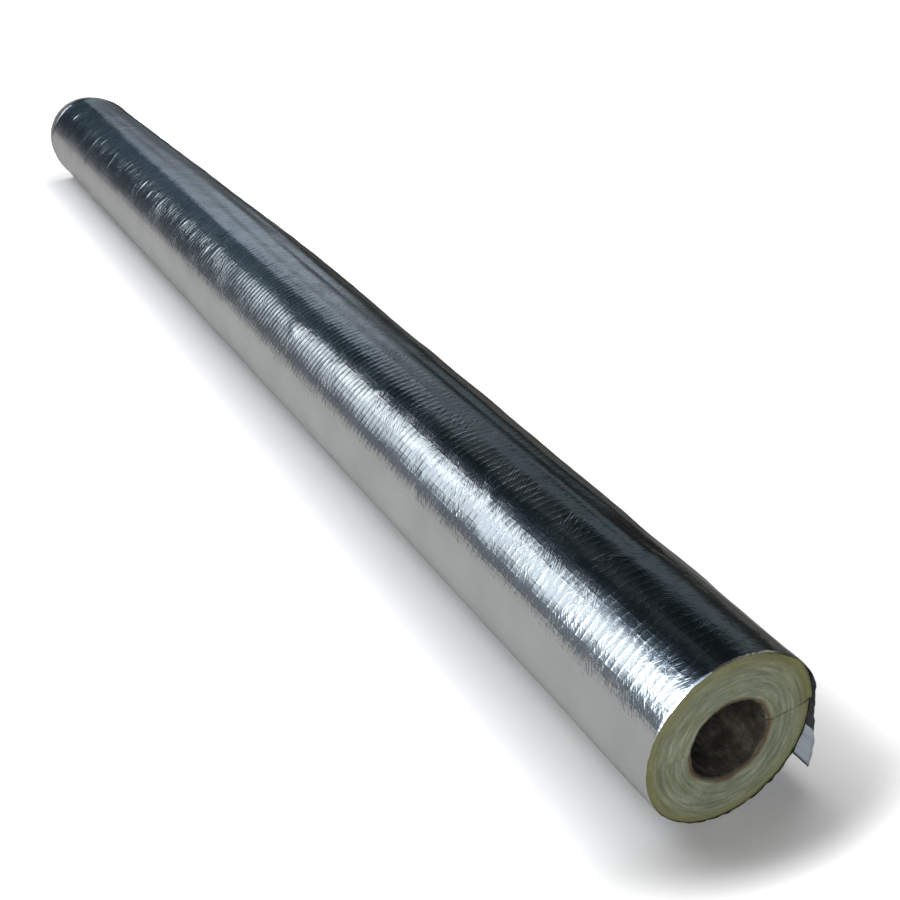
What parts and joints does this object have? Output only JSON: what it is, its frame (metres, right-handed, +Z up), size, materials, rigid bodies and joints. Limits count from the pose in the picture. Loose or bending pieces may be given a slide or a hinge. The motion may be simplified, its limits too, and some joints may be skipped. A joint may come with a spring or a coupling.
{
  "type": "mineral wool pipe insulation",
  "caption": "Rigid mineral wool tube, slit along one side to snap over a pipe, wrapped in reinforced aluminium foil whose loose edge laps over the slit.",
  "frame": {"origin": "on the bore axis, half way along the tube", "axes": "+X along the tube, +Y towards the slit and its lap, +Z up as it lies on the floor"},
  "size_m": [1.2, 0.0991, 0.0922],
  "materials": {
    "wool": "wound fibrous mineral wool, olive grey, matte",
    "foil": "bright aluminium foil over a square scrim of reinforcing threads",
    "liner": "smooth siliconised release paper, pale blue grey"
  },
  "bodies": {
    "root": {"wool_section": "wool", "foil_jacket": "foil", "release_liner": "liner"}
  },
  "joints": []
}
